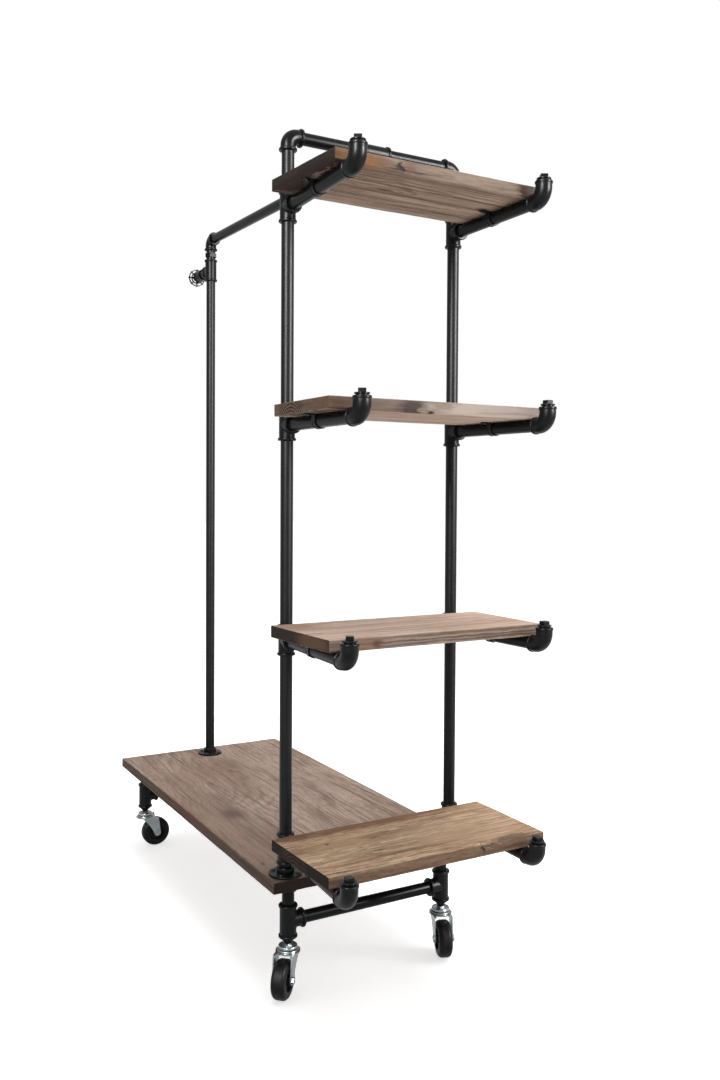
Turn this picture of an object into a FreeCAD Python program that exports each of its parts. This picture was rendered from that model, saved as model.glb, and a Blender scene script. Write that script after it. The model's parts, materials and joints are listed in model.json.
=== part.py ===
import FreeCAD, Part
import math
import os

Vector = FreeCAD.Vector

# Rolling rack of screwed pipe and planks: shelf tower, hanging rail, plank deck, four casters.
# Millimetres, +Z up, X along the crossbar, +Y from the tower to the far post.
# The origin is on the floor, at the middle of the whole rack.

# Pipe and how deep it is screwed into a fitting
pipe_diameter = 27.0
pipe_wall = 2.2
thread_depth = 14.0
socket_clearance = 0.1
cut_overrun = 1.0

# Cast fittings
tee_reach = 33.0
tee_body_diameter = 34.0
branch_body_diameter = 32.5
elbow_reach = 37.5
corner_elbow_reach = 32.0
elbow_body_diameter = 34.5
corner_elbow_body_diameter = 32.5
elbow_straight = 12.0
bead_diameter = 39.0
elbow_bead_diameter = 37.0
bead_width = 6.5
bead_round = 2.4
crotch_round = 4.0

# The larger tees at the top of the casters
leg_tee_reach = 36.0
leg_tee_body_diameter = 36.5
leg_branch_body_diameter = 35.0
leg_bead_diameter = 42.0

# Plank deck
deck_length = 1106.0
deck_width = 515.0
deck_thickness = 25.4
board_edge_round = 1.6

# Plank shelves
shelf_length = 512.0
shelf_depth = 240.0
shelf_thickness = 25.4
lower_pitch = 448.0
middle_pitch = 457.0
upper_pitch = 460.0
shelf_end_gap = 4.5
board_seat_gap = 0.2

# How much longer than shelf_length each board is at its left and right end
shelf_extras = {"bottom": (8, 11), "lower": (11, 0), "upper": (5, 0), "top": (0, 0)}

# How far each shelf's left and right arms are turned on their posts, in degrees, with the tip to +X
arm_turns = {"bottom": (-3.8, 0), "lower": (-4.1, 2.4), "upper": (0, 3.0), "top": (-2.1, 0)}

# Tower, crossbar and rail
post_spacing = 426.0
post_to_deck_edge = 37.0
far_post_to_deck_edge = 74.0
tower_top_rise = 149.0
rail_rise = 25.0

# Legs under the deck
leg_end_inset = 50.0
leg_side_inset = 57.5
leg_nipple_show = 30.0
close_nipple_show = 6.0

# Floor flange
flange_diameter = 72.0
flange_plate = 5.0
flange_height = 17.0
flange_hub_diameter = 38.0
flange_bolt_circle = 55.0
flange_screw_count = 4
flange_screw_angle = 45.0
flange_edge_round = 1.5

# Wood screws
screw_shank_diameter = 4.0
screw_head_diameter = 9.0
screw_head_height = 3.0
screw_head_round = 1.8
screw_bite = 12.0
screw_clearance = 0.1
screw_slot_width = 1.6
screw_slot_depth = 1.2

# Pipe straps under the shelves
strap_width = 15.0
strap_thickness = 1.5
strap_clearance = 0.1
strap_tab_length = 20.0
strap_tab_round = 5.0
strap_rib_width = 3.0
strap_rib_height = 0.7
strap_place_share = 0.47

# Square-head plugs in the upturned elbows
plug_neck_diameter = 24.0
plug_neck_show = 2.5
plug_collar_diameter = 30.0
plug_collar_height = 3.0
plug_collar_round = 1.0
plug_head_width = 15.5
plug_head_height = 8.0
plug_head_round = 1.2

# How far each shelf's left and right plugs are turned in their elbows, in degrees
plug_turns = {"bottom": (0, 0), "lower": (-26, 0), "upper": (-30, 0), "top": (-28, -28)}

# Far post top
far_nipple_show = 28.0
far_nipple_hex_width = 31.0
far_nipple_hex_height = 12.0

# Valve on the far post
valve_nipple_show = 28.0
valve_body_diameter = 34.0
valve_body_length = 40.0
valve_body_round = 2.0
valve_passage_diameter = 16.0
bonnet_shank_diameter = 22.0
bonnet_shank_length = 12.0
bonnet_collar_diameter = 37.0
bonnet_collar_length = 4.0
bonnet_hex_width = 25.0
bonnet_hex_length = 10.0
stem_diameter = 8.0
running_clearance = 0.05

# Handwheel
handwheel_diameter = 52.0
handwheel_plate = 5.0
handwheel_ring_width = 2.6
handwheel_inner_ring_diameter = 36.0
handwheel_node_count = 8
handwheel_node_diameter = 6.0
handwheel_web_width = 2.6
handwheel_spoke_count = 4
handwheel_spoke_width = 5.0
handwheel_hub_diameter = 16.0
handwheel_hub_length = 14.0
handwheel_gap = 0.6
handwheel_nut_width = 13.0
handwheel_nut_length = 6.0

# Casters
caster_height = 120.0
wheel_diameter = 83.0
wheel_width = 32.0
tyre_inner_diameter = 58.0
tyre_shoulder_round = 10.0
hub_web_width = 12.0
hub_boss_diameter = 22.0
hub_rim_wall = 5.0
hub_side_gap = 0.4
caster_trail = 32.0
fork_side_gap = 3.5
fork_plate = 2.5
fork_crown_plate = 3.0
fork_wheel_gap = 6.0
fork_crown_diameter = 54.0
fork_crown_tail = 35.0
fork_notch_start = 24.0
fork_shoulder = 3.0
fork_leg_front = -18.0
fork_leg_sweep = 5.0
fork_leg_end_diameter = 20.0
race_diameter = 47.0
race_height = 4.0
race_round = 1.6
race_gap = 0.4
cap_diameter = 42.0
cap_height = 7.0
cap_round = 2.0
cap_dish_diameter = 35.0
cap_boss_diameter = 24.0
cap_dish_depth = 1.2
kingpin_diameter = 10.0
kingpin_head_diameter = 18.0
kingpin_head_height = 2.5
caster_stem_diameter = 12.0
stem_hex_width = 17.0
stem_hex_height = 3.5
axle_diameter = 8.0
axle_hex_width = 13.0
axle_head_height = 2.5
axle_nut_height = 4.0
bushing_cone_height = 9.5
bushing_cone_top_diameter = 36.5
bushing_cone_low_diameter = 17.0
bushing_neck_diameter = 15.5

# Heading of each caster's trailing wheel, in degrees from +X: as the rack was last rolled
caster_headings = {"near_left": 225, "near_right": 248, "far_left": 0, "far_right": 45}

# Sizes that follow from the ones above
pipe_radius = pipe_diameter / 2
passage_radius = pipe_radius - pipe_wall
socket_radius = pipe_radius + socket_clearance
tee_length = 2 * tee_reach

left_x = -post_spacing / 2
right_x = post_spacing / 2
side_xs = (left_x, right_x)
arm_show = shelf_depth + 2 * shelf_end_gap
arm_reach = tee_reach + arm_show + elbow_reach
rail_run = deck_length - post_to_deck_edge - far_post_to_deck_edge
rail_length = math.hypot(rail_run, rail_rise)
rail_slope = math.degrees(math.atan2(rail_rise, rail_run))

valve_body_start = tee_reach + valve_nipple_show
bonnet_start = valve_body_start + valve_body_length
handwheel_start = bonnet_start + bonnet_collar_length + bonnet_hex_length + handwheel_gap
valve_end = handwheel_start + handwheel_hub_length + handwheel_nut_length
front_extent = arm_reach + elbow_bead_diameter / 2
back_extent = max(rail_run + valve_end, deck_length - post_to_deck_edge)

# The middle of the rack's depth is at Y = 0
tower_y = (front_extent - back_extent) / 2
far_post_y = tower_y + rail_run
deck_near_y = tower_y - post_to_deck_edge
deck_far_y = deck_near_y + deck_length

leg_x = deck_width / 2 - leg_side_inset
leg_near_y = deck_near_y + leg_end_inset
leg_far_y = deck_far_y - leg_end_inset

leg_tee_z = caster_height + leg_tee_reach
leg_tee_top_z = leg_tee_z + leg_tee_reach
deck_low_z = leg_tee_top_z + leg_nipple_show + flange_height
deck_top_z = deck_low_z + deck_thickness
lowest_tee_z = deck_top_z + flange_height + close_nipple_show + tee_reach
shelf_names = ("bottom", "lower", "upper", "top")
tee_zs = [lowest_tee_z]
for pitch in (lower_pitch, middle_pitch, upper_pitch):
    tee_zs.append(tee_zs[-1] + pitch)
rail_z = tee_zs[-1] + tower_top_rise
far_rail_z = rail_z + rail_rise
valve_tee_z = far_rail_z - corner_elbow_reach - far_nipple_show - tee_reach

# Heights of a caster's pieces, from the floor up
axle_z = wheel_diameter / 2
crown_low_z = wheel_diameter + fork_wheel_gap
crown_top_z = crown_low_z + fork_crown_plate
race_top_z = crown_top_z + race_height
cap_low_z = race_top_z + race_gap
cap_top_z = cap_low_z + cap_height
stem_hex_top_z = cap_top_z + stem_hex_height

x_axis = Vector(1, 0, 0)
y_axis = Vector(0, 1, 0)
z_axis = Vector(0, 0, 1)
quarter_turn = 90
half_turn = 180
full_turn = 360


def write(name, solids):
    """One file for a piece, or for a group of like pieces."""
    shape = solids[0] if len(solids) == 1 else Part.makeCompound(solids)
    shape.exportStep("parts/" + name + ".step")


def place(shape, origin, new_x, new_z):
    """A copy of a shape made at the origin, turned so that its X and Z lie along the given axes."""
    placed = shape.copy()
    turn = FreeCAD.Rotation(new_x, new_z.cross(new_x), new_z, "ZXY")
    placed.Placement = FreeCAD.Placement(origin, turn)
    return placed


def rod(diameter, start, axis, length):
    """A plain round bar."""
    return Part.makeCylinder(diameter / 2, length, start, axis)


def rounded_rod(diameter, start, axis, length, edge_round):
    """A round bar with both end edges rounded."""
    bar = rod(diameter, start, axis, length)
    rims = [edge for edge in bar.Edges if isinstance(edge.Curve, Part.Circle)]
    return bar.makeFillet(edge_round, rims)


def upright_edges(shape):
    """The straight edges of a shape that stand along Z."""
    straight = [edge for edge in shape.Edges if isinstance(edge.Curve, Part.Line)]
    return [edge for edge in straight if abs(edge.Curve.Direction.z) == 1]


def hexagon(width_across_flats, start, length):
    """A hexagonal bar that stands on start, along Z."""
    corner = width_across_flats / math.sqrt(3)
    corners = []
    for step in range(7):
        angle = math.radians(step * full_turn / 6)
        corners.append(start + Vector(corner * math.cos(angle), corner * math.sin(angle), 0))
    return Part.Face(Part.makePolygon(corners)).extrude(z_axis * length)


def pipe(start, axis, length):
    """A length of pipe."""
    outer = rod(pipe_diameter, start, axis, length)
    return outer.cut(rod(2 * passage_radius, start - axis * cut_overrun, axis, length + 2 * cut_overrun))


def screwed_pipe(start, axis, show):
    """A pipe whose bare length is show, with both ends screwed into fittings."""
    return pipe(start - axis * thread_depth, axis, show + 2 * thread_depth)


# Cast fittings, made with their centre at the origin

def bead(diameter, axis, reach):
    """The rounded band round a mouth."""
    start = axis * (reach - bead_width)
    return rounded_rod(diameter, start, axis, bead_width, bead_round)


def make_tee(reach, body_diameter, branch_diameter, mouth_diameter):
    """A tee with its run along Z and its branch along X."""
    run = rod(body_diameter, z_axis * -reach, z_axis, 2 * reach)
    branch = rod(branch_diameter, Vector(), x_axis, reach)
    body = run.fuse(branch).removeSplitter()
    seams = [edge for edge in body.Edges if not isinstance(edge.Curve, (Part.Circle, Part.Line))]
    body = body.makeFillet(crotch_round, seams)
    mouths = (z_axis, -z_axis, x_axis)
    body = body.multiFuse([bead(mouth_diameter, axis, reach) for axis in mouths])
    cuts = []
    for axis in mouths:
        socket_floor = axis * (reach - thread_depth)
        cuts.append(rod(2 * socket_radius, socket_floor, axis, thread_depth + cut_overrun))
        cuts.append(rod(2 * passage_radius, Vector(), axis, reach))
    return body.cut(Part.makeCompound(cuts)).removeSplitter()


def make_elbow(reach, body_diameter, mouth_diameter, opening):
    """An elbow with one mouth along X and the other at the opening angle from it, in the XZ plane."""
    bend_start = reach - elbow_straight
    bend_radius = bend_start * math.tan(math.radians(opening / 2))
    start = Vector(bend_start, 0, 0)
    centre = Vector(bend_start, 0, bend_radius)
    mouths = (x_axis, Vector(math.cos(math.radians(opening)), 0, math.sin(math.radians(opening))))

    def bend(diameter):
        disc = Part.Face(Part.Wire(Part.makeCircle(diameter / 2, start, x_axis)))
        return disc.revolve(centre, y_axis, half_turn - opening)

    straights = [rod(body_diameter, axis * bend_start, axis, elbow_straight) for axis in mouths]
    body = bend(body_diameter).multiFuse(straights + [bead(mouth_diameter, axis, reach) for axis in mouths])
    cuts = [bend(2 * passage_radius)]
    for axis in mouths:
        cuts.append(rod(2 * socket_radius, axis * (reach - thread_depth), axis, thread_depth + cut_overrun))
    return body.cut(Part.makeCompound(cuts)).removeSplitter()


def make_flange():
    """A floor flange that stands on the origin, with its socket opening upwards."""
    plate = rounded_rod(flange_diameter, Vector(), z_axis, flange_plate, flange_edge_round)
    hub = rounded_rod(flange_hub_diameter, Vector(), z_axis, flange_height, flange_edge_round)
    body = plate.fuse(hub)
    socket_floor = z_axis * (flange_height - thread_depth)
    cuts = [rod(2 * socket_radius, socket_floor, z_axis, thread_depth + cut_overrun),
            rod(2 * passage_radius, -z_axis * cut_overrun, z_axis, flange_height)]
    for spot in flange_screw_spots():
        hole = screw_shank_diameter + 2 * screw_clearance
        cuts.append(rod(hole, spot - z_axis * cut_overrun, z_axis, flange_plate + 2 * cut_overrun))
    return body.cut(Part.makeCompound(cuts)).removeSplitter()


def flange_screw_spots():
    """Places of a flange's screws, round its centre."""
    spots = []
    for step in range(flange_screw_count):
        angle = math.radians(flange_screw_angle + step * full_turn / flange_screw_count)
        spots.append(Vector(math.cos(angle), math.sin(angle), 0) * (flange_bolt_circle / 2))
    return spots


def make_screw(grip):
    """A round-head wood screw that points down, with the underside of its head at the origin."""
    head = rod(screw_head_diameter, Vector(), z_axis, screw_head_height)
    rim = [edge for edge in head.Edges if isinstance(edge.Curve, Part.Circle) and edge.Curve.Center.z > 0]
    head = head.makeFillet(screw_head_round, rim)
    shank = rod(screw_shank_diameter, -z_axis * (grip + screw_bite), z_axis, grip + screw_bite)
    slot_base = Vector(-screw_head_diameter / 2, -screw_slot_width / 2, screw_head_height - screw_slot_depth)
    slot = Part.makeBox(screw_head_diameter, screw_slot_width, screw_head_height, slot_base)
    return head.fuse(shank).cut(slot).removeSplitter()


def screw_hole(spot, axis):
    """The hole that a screw makes in a board, from its face at spot along axis."""
    return rod(screw_shank_diameter + 2 * screw_clearance, spot - axis * cut_overrun, axis,
               screw_bite + cut_overrun + screw_clearance)


def make_plug():
    """A square-head plug whose mouth line is at the origin, screwed in downwards."""
    shank = rod(pipe_diameter, -z_axis * thread_depth, z_axis, thread_depth)
    neck = rod(plug_neck_diameter, Vector(), z_axis, plug_neck_show)
    collar_base = z_axis * plug_neck_show
    collar = rounded_rod(plug_collar_diameter, collar_base, z_axis, plug_collar_height, plug_collar_round)
    head_z = plug_neck_show + plug_collar_height
    corner = Vector(-plug_head_width / 2, -plug_head_width / 2, head_z)
    head = Part.makeBox(plug_head_width, plug_head_width, plug_head_height, corner)
    head = head.makeFillet(plug_head_round, [edge for edge in head.Edges if edge.CenterOfMass.z > head_z])
    return shank.multiFuse([neck, collar, head]).removeSplitter()


def make_strap():
    """A two-hole strap round a pipe along Y, with its tabs against a board above the pipe."""
    inner = pipe_radius + strap_clearance
    outer = inner + strap_thickness
    rib = outer + strap_rib_height
    under_z = pipe_radius + board_seat_gap
    start = Vector(0, -strap_width / 2, 0)
    band = rod(2 * outer, start, y_axis, strap_width)
    rib_places = (start, Vector(0, strap_width / 2 - strap_rib_width, 0))
    band = band.multiFuse([rod(2 * rib, place_, y_axis, strap_rib_width) for place_ in rib_places])
    above = Part.makeBox(2 * rib, strap_width, rib, Vector(-rib, -strap_width / 2, 0))
    band = band.cut(above)
    upright = Part.makeBox(2 * outer, strap_width, under_z, Vector(-outer, -strap_width / 2, 0))
    reach = outer + strap_tab_length
    tab_base = Vector(-reach, -strap_width / 2, under_z - strap_thickness)
    tabs = Part.makeBox(2 * reach, strap_width, strap_thickness, tab_base)
    tabs = tabs.makeFillet(strap_tab_round, upright_edges(tabs))
    body = band.multiFuse([upright, tabs])
    cuts = [rod(2 * inner, start - y_axis * cut_overrun, y_axis, strap_width + 2 * cut_overrun)]
    cuts.append(Part.makeBox(2 * inner, strap_width + 2 * cut_overrun, rib,
                             Vector(-inner, -strap_width / 2 - cut_overrun, 0)))
    for spot in strap_screw_spots():
        hole = screw_shank_diameter + 2 * screw_clearance
        cuts.append(rod(hole, spot - z_axis * cut_overrun, z_axis, strap_thickness + 2 * cut_overrun))
    return body.cut(Part.makeCompound(cuts)).removeSplitter()


def strap_screw_spots():
    """Places of a strap's screws on the underside of its tabs, from the middle of the pipe."""
    tab_middle = pipe_radius + strap_clearance + strap_thickness + strap_tab_length / 2
    low = pipe_radius + board_seat_gap - strap_thickness
    return [Vector(-tab_middle, 0, low), Vector(tab_middle, 0, low)]


os.makedirs("parts", exist_ok=True)
tee = make_tee(tee_reach, tee_body_diameter, branch_body_diameter, bead_diameter)
leg_tee = make_tee(leg_tee_reach, leg_tee_body_diameter, leg_branch_body_diameter, leg_bead_diameter)
shelf_elbow = make_elbow(elbow_reach, elbow_body_diameter, elbow_bead_diameter, quarter_turn)
corner_elbow = make_elbow(corner_elbow_reach, corner_elbow_body_diameter, bead_diameter, quarter_turn)
rail_elbow_opening = quarter_turn - rail_slope
rail_elbow = make_elbow(corner_elbow_reach, corner_elbow_body_diameter, bead_diameter, rail_elbow_opening)
flange = make_flange()
plug = make_plug()
strap = make_strap()
flange_screw = make_screw(flange_plate)
strap_screw = make_screw(strap_thickness)


# Boards

def plank(x_size, y_size, thickness, corner, holes):
    """A plank with eased edges and its screw holes."""
    blank = Part.makeBox(x_size, y_size, thickness, corner)
    return blank.makeFillet(board_edge_round, blank.Edges).cut(Part.makeCompound(holes))


deck_flange_spots = [Vector(x, tower_y, deck_top_z) for x in side_xs]
deck_flange_spots.append(Vector(0, far_post_y, deck_top_z))
leg_spots = {
    "near_left": Vector(-leg_x, leg_near_y, 0),
    "near_right": Vector(leg_x, leg_near_y, 0),
    "far_left": Vector(-leg_x, leg_far_y, 0),
    "far_right": Vector(leg_x, leg_far_y, 0),
}
leg_flange_spots = [spot + z_axis * deck_low_z for spot in leg_spots.values()]

deck_holes = []
for spot in deck_flange_spots:
    deck_holes += [screw_hole(spot + offset, -z_axis) for offset in flange_screw_spots()]
for spot in leg_flange_spots:
    deck_holes += [screw_hole(spot + offset, z_axis) for offset in flange_screw_spots()]
deck_corner = Vector(-deck_width / 2, deck_near_y, deck_low_z)
write("base_board", [plank(deck_width, deck_length, deck_thickness, deck_corner, deck_holes)])

shelf_back_y = tower_y - tee_reach - shelf_end_gap
strap_distance = tee_reach + shelf_end_gap + strap_place_share * shelf_depth


def arm_direction(turn):
    """The level direction of an arm that is turned on its post."""
    angle = math.radians(turn)
    return Vector(math.sin(angle), -math.cos(angle), 0)


def strap_axes(name, tee_z):
    """Middle of the strap on each arm of a shelf, and the direction across that arm."""
    axes = []
    for x, turn in zip(side_xs, arm_turns[name]):
        along = arm_direction(turn)
        axes.append((Vector(x, tower_y, tee_z) + along * strap_distance, z_axis.cross(along)))
    return axes


for name, tee_z in zip(shelf_names, tee_zs):
    low_z = tee_z + pipe_radius + board_seat_gap
    holes = []
    for middle, across in strap_axes(name, tee_z):
        for spot in strap_screw_spots():
            hole_place = middle + across * spot.x
            holes.append(screw_hole(Vector(hole_place.x, hole_place.y, low_z), z_axis))
    left_extra, right_extra = shelf_extras[name]
    corner = Vector(-shelf_length / 2 - left_extra, shelf_back_y - shelf_depth, low_z)
    board_length = shelf_length + left_extra + right_extra
    write(name + "_shelf_board", [plank(board_length, shelf_depth, shelf_thickness, corner, holes)])


# Shelf arms: tee on the post, arm pipe, upturned elbow with its plug, strap under the board

plugs = []
straps = []
strap_screws = []
for name, tee_z in zip(shelf_names, tee_zs):
    tees = []
    arms = []
    elbows = []
    for x, turn, plug_turn in zip(side_xs, arm_turns[name], plug_turns[name]):
        post = Vector(x, tower_y, tee_z)
        along = arm_direction(turn)
        tip = post + along * arm_reach
        tees.append(place(tee, post, along, z_axis))
        arms.append(screwed_pipe(post + along * tee_reach, along, arm_show))
        elbows.append(place(shelf_elbow, tip, -along, z_axis))
        plugs.append(place(plug, tip + z_axis * elbow_reach, arm_direction(turn + plug_turn), z_axis))
    write(name + "_shelf_tees", tees)
    write(name + "_shelf_arms", arms)
    write(name + "_shelf_elbows", elbows)
    for middle, across in strap_axes(name, tee_z):
        straps.append(place(strap, middle, across, z_axis))
        for spot in strap_screw_spots():
            head = middle + across * spot.x + z_axis * spot.z
            strap_screws.append(place(strap_screw, head, across, -z_axis))
write("elbow_plugs", plugs)
write("shelf_straps", straps)
write("strap_screws", strap_screws)


# Tower posts, crossbar and hanging rail

top_pipe_show = tower_top_rise - tee_reach - corner_elbow_reach
for side, x in zip(("left", "right"), side_xs):
    lengths = []
    for tee_z, next_z in zip(tee_zs[:-1], tee_zs[1:]):
        pipe_show = next_z - tee_z - tee_length
        lengths.append(screwed_pipe(Vector(x, tower_y, tee_z + tee_reach), z_axis, pipe_show))
    lengths.append(screwed_pipe(Vector(x, tower_y, tee_zs[-1] + tee_reach), z_axis, top_pipe_show))
    write(side + "_post_pipes", lengths)

flange_tops = [Vector(x, tower_y, deck_top_z + flange_height) for x in side_xs]
nipples = [screwed_pipe(top, z_axis, close_nipple_show) for top in flange_tops]

top_left = Vector(left_x, tower_y, rail_z)
top_right = Vector(right_x, tower_y, rail_z)
rail_start = Vector(0, tower_y, rail_z)
rail_end = Vector(0, far_post_y, far_rail_z)
rail_axis = Vector(0, rail_run, rail_rise).normalize()
rail_down = Vector(0, rail_rise, -rail_run).normalize()
half_bar_show = post_spacing / 2 - corner_elbow_reach - tee_reach
rail_show = rail_length - tee_reach - corner_elbow_reach
write("top_elbows", [place(corner_elbow, top_left, x_axis, -z_axis),
                     place(corner_elbow, top_right, -x_axis, -z_axis)])
write("crossbar_pipes", [screwed_pipe(top_left + x_axis * corner_elbow_reach, x_axis, half_bar_show),
                         screwed_pipe(rail_start + x_axis * tee_reach, x_axis, half_bar_show)])
write("rail_tee", [place(tee, rail_start, rail_axis, x_axis)])
write("hanging_rail", [screwed_pipe(rail_start + rail_axis * tee_reach, rail_axis, rail_show)])
write("rail_end_elbow", [place(rail_elbow, rail_end, -rail_axis, rail_down)])


# Far post, with its valve

valve_centre = Vector(0, far_post_y, valve_tee_z)
far_foot = Vector(0, far_post_y, deck_top_z + flange_height)
far_post_show = valve_tee_z - tee_reach - far_foot.z


def make_hex_nipple():
    """A short nipple with a hexagon in its middle, standing on the mouth below it."""
    body = rod(pipe_diameter, -z_axis * thread_depth, z_axis, far_nipple_show + 2 * thread_depth)
    collar_z = (far_nipple_show - far_nipple_hex_height) / 2
    body = body.fuse(hexagon(far_nipple_hex_width, z_axis * collar_z, far_nipple_hex_height))
    bore_length = far_nipple_show + 2 * thread_depth + 2 * cut_overrun
    return body.cut(rod(2 * passage_radius, -z_axis * (thread_depth + cut_overrun), z_axis, bore_length))


def make_valve_body():
    """The valve's round body from its pipe end at the origin, along Z."""
    body = rounded_rod(valve_body_diameter, Vector(), z_axis, valve_body_length, valve_body_round)
    bonnet_hole = bonnet_shank_diameter + 2 * socket_clearance
    cuts = [rod(2 * socket_radius, -z_axis * cut_overrun, z_axis, thread_depth + cut_overrun),
            rod(bonnet_hole, z_axis * (valve_body_length - bonnet_shank_length), z_axis,
                bonnet_shank_length + cut_overrun),
            rod(valve_passage_diameter, Vector(), z_axis, valve_body_length)]
    return body.cut(Part.makeCompound(cuts)).removeSplitter()


def make_bonnet():
    """The bonnet with its packing nut, standing on the valve body's end, along Z."""
    shank = rod(bonnet_shank_diameter, -z_axis * bonnet_shank_length, z_axis, bonnet_shank_length)
    collar = rod(bonnet_collar_diameter, Vector(), z_axis, bonnet_collar_length)
    nut = hexagon(bonnet_hex_width, z_axis * bonnet_collar_length, bonnet_hex_length)
    body = shank.multiFuse([collar, nut])
    bore_length = bonnet_shank_length + bonnet_collar_length + bonnet_hex_length + 2 * cut_overrun
    bore = rod(stem_diameter + 2 * running_clearance, -z_axis * (bonnet_shank_length + cut_overrun), z_axis,
               bore_length)
    return body.cut(bore).removeSplitter()


def make_handwheel():
    """The handwheel from the inner face of its hub at the origin, along Z."""
    plate_z = (handwheel_hub_length - handwheel_plate) / 2
    base = z_axis * plate_z

    def ring(diameter):
        hole = rod(diameter - 2 * handwheel_ring_width, Vector(), z_axis, handwheel_hub_length)
        return rod(diameter, base, z_axis, handwheel_plate).cut(hole)

    pieces = [ring(handwheel_inner_ring_diameter)]
    rim_radius = (handwheel_diameter - handwheel_ring_width) / 2
    web_start = handwheel_inner_ring_diameter / 2 - handwheel_ring_width / 2
    web = Part.makeBox(rim_radius - web_start, handwheel_web_width, handwheel_plate,
                       Vector(web_start, -handwheel_web_width / 2, plate_z))
    node = rod(handwheel_node_diameter, Vector(rim_radius, 0, plate_z), z_axis, handwheel_plate)
    for step in range(handwheel_node_count):
        pieces += [turned(shape, step * full_turn / handwheel_node_count) for shape in (web, node)]
    spoke = Part.makeBox(web_start, handwheel_spoke_width, handwheel_plate,
                         Vector(0, -handwheel_spoke_width / 2, plate_z))
    for step in range(handwheel_spoke_count):
        pieces.append(turned(spoke, step * full_turn / handwheel_spoke_count))
    pieces.append(rod(handwheel_hub_diameter, Vector(), z_axis, handwheel_hub_length))
    bore = rod(stem_diameter + 2 * running_clearance, -z_axis * cut_overrun, z_axis,
               handwheel_hub_length + 2 * cut_overrun)
    return ring(handwheel_diameter).multiFuse(pieces).cut(bore).removeSplitter()


def turned(shape, angle):
    """A copy of a shape turned about Z."""
    copy = shape.copy()
    copy.rotate(Vector(), z_axis, angle)
    return copy


def make_nut(width, length, hole_diameter):
    """A hexagon nut standing on the origin, along Z."""
    return hexagon(width, Vector(), length).cut(
        rod(hole_diameter, -z_axis * cut_overrun, z_axis, length + 2 * cut_overrun))


def on_valve(shape, distance):
    """A shape made along Z, laid along the valve's axis at a distance from the post."""
    return place(shape, valve_centre + y_axis * distance, x_axis, y_axis)


stem_start = bonnet_start - bonnet_shank_length
write("hex_nipple", [place(make_hex_nipple(), valve_centre + z_axis * tee_reach, x_axis, z_axis)])
write("valve_tee", [place(tee, valve_centre, y_axis, z_axis)])
write("far_post", [screwed_pipe(far_foot, z_axis, far_post_show)])
nipples.append(screwed_pipe(valve_centre + y_axis * tee_reach, y_axis, valve_nipple_show))
write("valve_body", [on_valve(make_valve_body(), valve_body_start)])
write("valve_bonnet", [on_valve(make_bonnet(), bonnet_start)])
write("valve_stem", [on_valve(rod(stem_diameter, Vector(), z_axis, valve_end - stem_start), stem_start)])
write("handwheel", [on_valve(make_handwheel(), handwheel_start)])
nut_hole = stem_diameter + 2 * running_clearance
write("handwheel_nut", [on_valve(make_nut(handwheel_nut_width, handwheel_nut_length, nut_hole),
                                 handwheel_start + handwheel_hub_length)])


# Flanges on and under the deck, with their screws

write("floor_flanges", [place(flange, spot, x_axis, z_axis) for spot in deck_flange_spots])
write("leg_flanges", [place(flange, spot, x_axis, -z_axis) for spot in leg_flange_spots])
for name, spots, outward in (("floor_flange_screws", deck_flange_spots, z_axis),
                             ("leg_flange_screws", leg_flange_spots, -z_axis)):
    flange_screws = []
    for spot in spots:
        head = spot + outward * flange_plate
        for offset in flange_screw_spots():
            flange_screws.append(place(flange_screw, head + offset, x_axis, outward))
    write(name, flange_screws)


# Legs and stretchers

def make_bushing():
    """The tapered bushing that holds a caster in a leg, hung from the tee's mouth at the origin."""
    shank = rod(pipe_diameter, Vector(), z_axis, thread_depth)
    cone = Part.makeCone(bushing_cone_top_diameter / 2, bushing_cone_low_diameter / 2, bushing_cone_height,
                         Vector(), -z_axis)
    neck_low = stem_hex_top_z - caster_height
    neck = rod(bushing_neck_diameter, z_axis * neck_low, z_axis, -neck_low)
    bore_start = z_axis * (neck_low - cut_overrun)
    bore_length = thread_depth - neck_low + 2 * cut_overrun
    bore = rod(caster_stem_diameter + 2 * socket_clearance, bore_start, z_axis, bore_length)
    return shank.multiFuse([cone, neck]).cut(bore).removeSplitter()


leg_tees = []
bushings = []
for spot in leg_spots.values():
    inward = -x_axis if spot.x > 0 else x_axis
    leg_tees.append(place(leg_tee, spot + z_axis * leg_tee_z, inward, z_axis))
    nipples.append(screwed_pipe(spot + z_axis * leg_tee_top_z, z_axis, leg_nipple_show))
    bushings.append(place(make_bushing(), spot + z_axis * caster_height, x_axis, z_axis))
write("leg_tees", leg_tees)
write("short_nipples", nipples)
write("caster_bushings", bushings)
stretcher_show = 2 * leg_x - 2 * leg_tee_reach
to_mouth = Vector(leg_tee_reach, 0, leg_tee_z)
write("stretchers", [screwed_pipe(leg_spots[corner] + to_mouth, x_axis, stretcher_show)
                     for corner in ("near_left", "far_left")])


# Casters, made with the swivel axis on Z, the floor at zero and the wheel trailing along X

fork_inner = wheel_width + 2 * fork_side_gap
fork_outer = fork_inner + 2 * fork_plate
axle_centre = Vector(caster_trail, 0, axle_z)


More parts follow.
